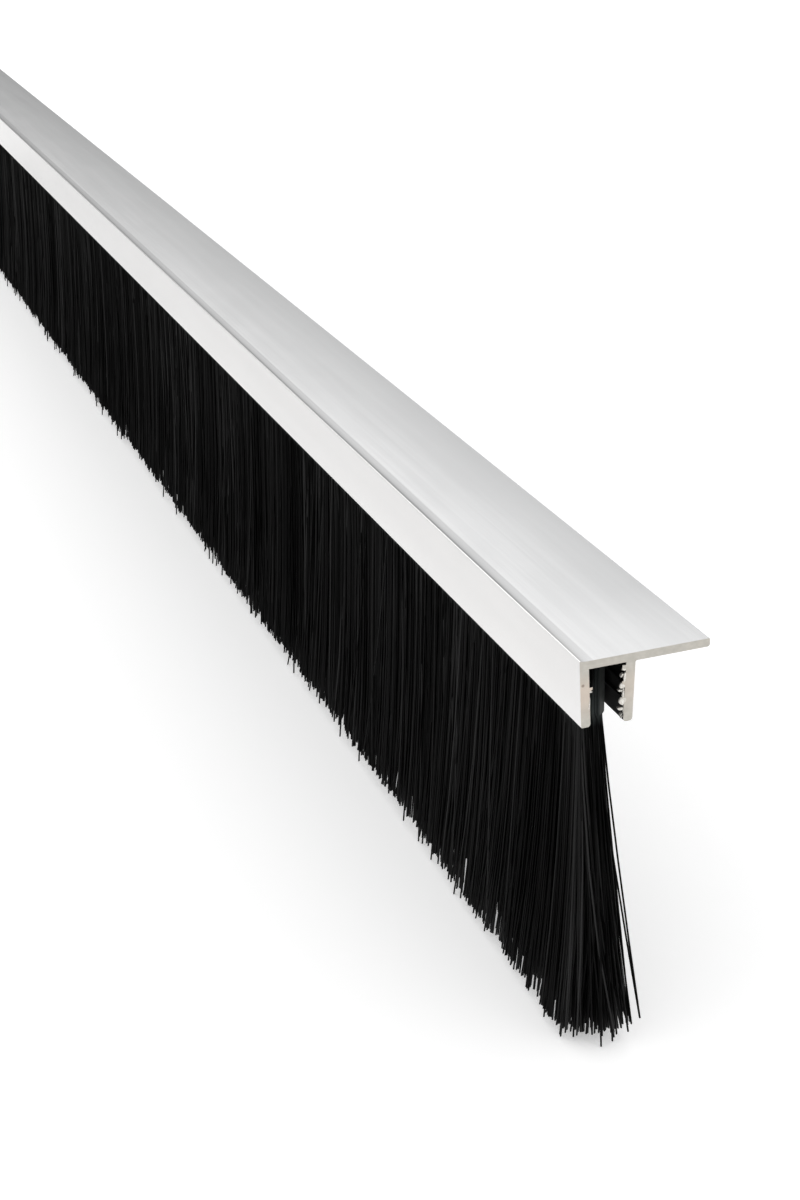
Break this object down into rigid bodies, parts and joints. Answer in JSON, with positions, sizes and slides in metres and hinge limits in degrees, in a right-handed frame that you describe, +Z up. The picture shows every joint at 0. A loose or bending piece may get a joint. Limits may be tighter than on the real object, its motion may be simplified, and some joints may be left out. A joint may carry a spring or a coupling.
{
  "type": "door bottom brush seal",
  "caption": "Door bottom brush seal: a straight aluminium F-section carrier with a serrated channel that grips a plastic brush body and its deep curtain of black nylon bristles.",
  "frame": {"origin": "middle of the carrier's top face, halfway along the strip and halfway across the flange", "axes": "+X across the strip towards the tip of the screw flange, +Y along the strip, +Z up, out of the top face that bears on the door; the bristles point down"},
  "size_m": [0.0248, 0.914, 0.0755],
  "materials": {
    "carrier_aluminium": "satin mill finish, fine lengthwise brushing, sawn ends",
    "body_plastic": "black extruded plastic",
    "bristle_nylon": "black nylon filaments"
  },
  "bodies": {
    "root": {"aluminium_carrier": "carrier_aluminium", "brush_body": "body_plastic", "nylon_bristles": "bristle_nylon"}
  },
  "joints": []
}
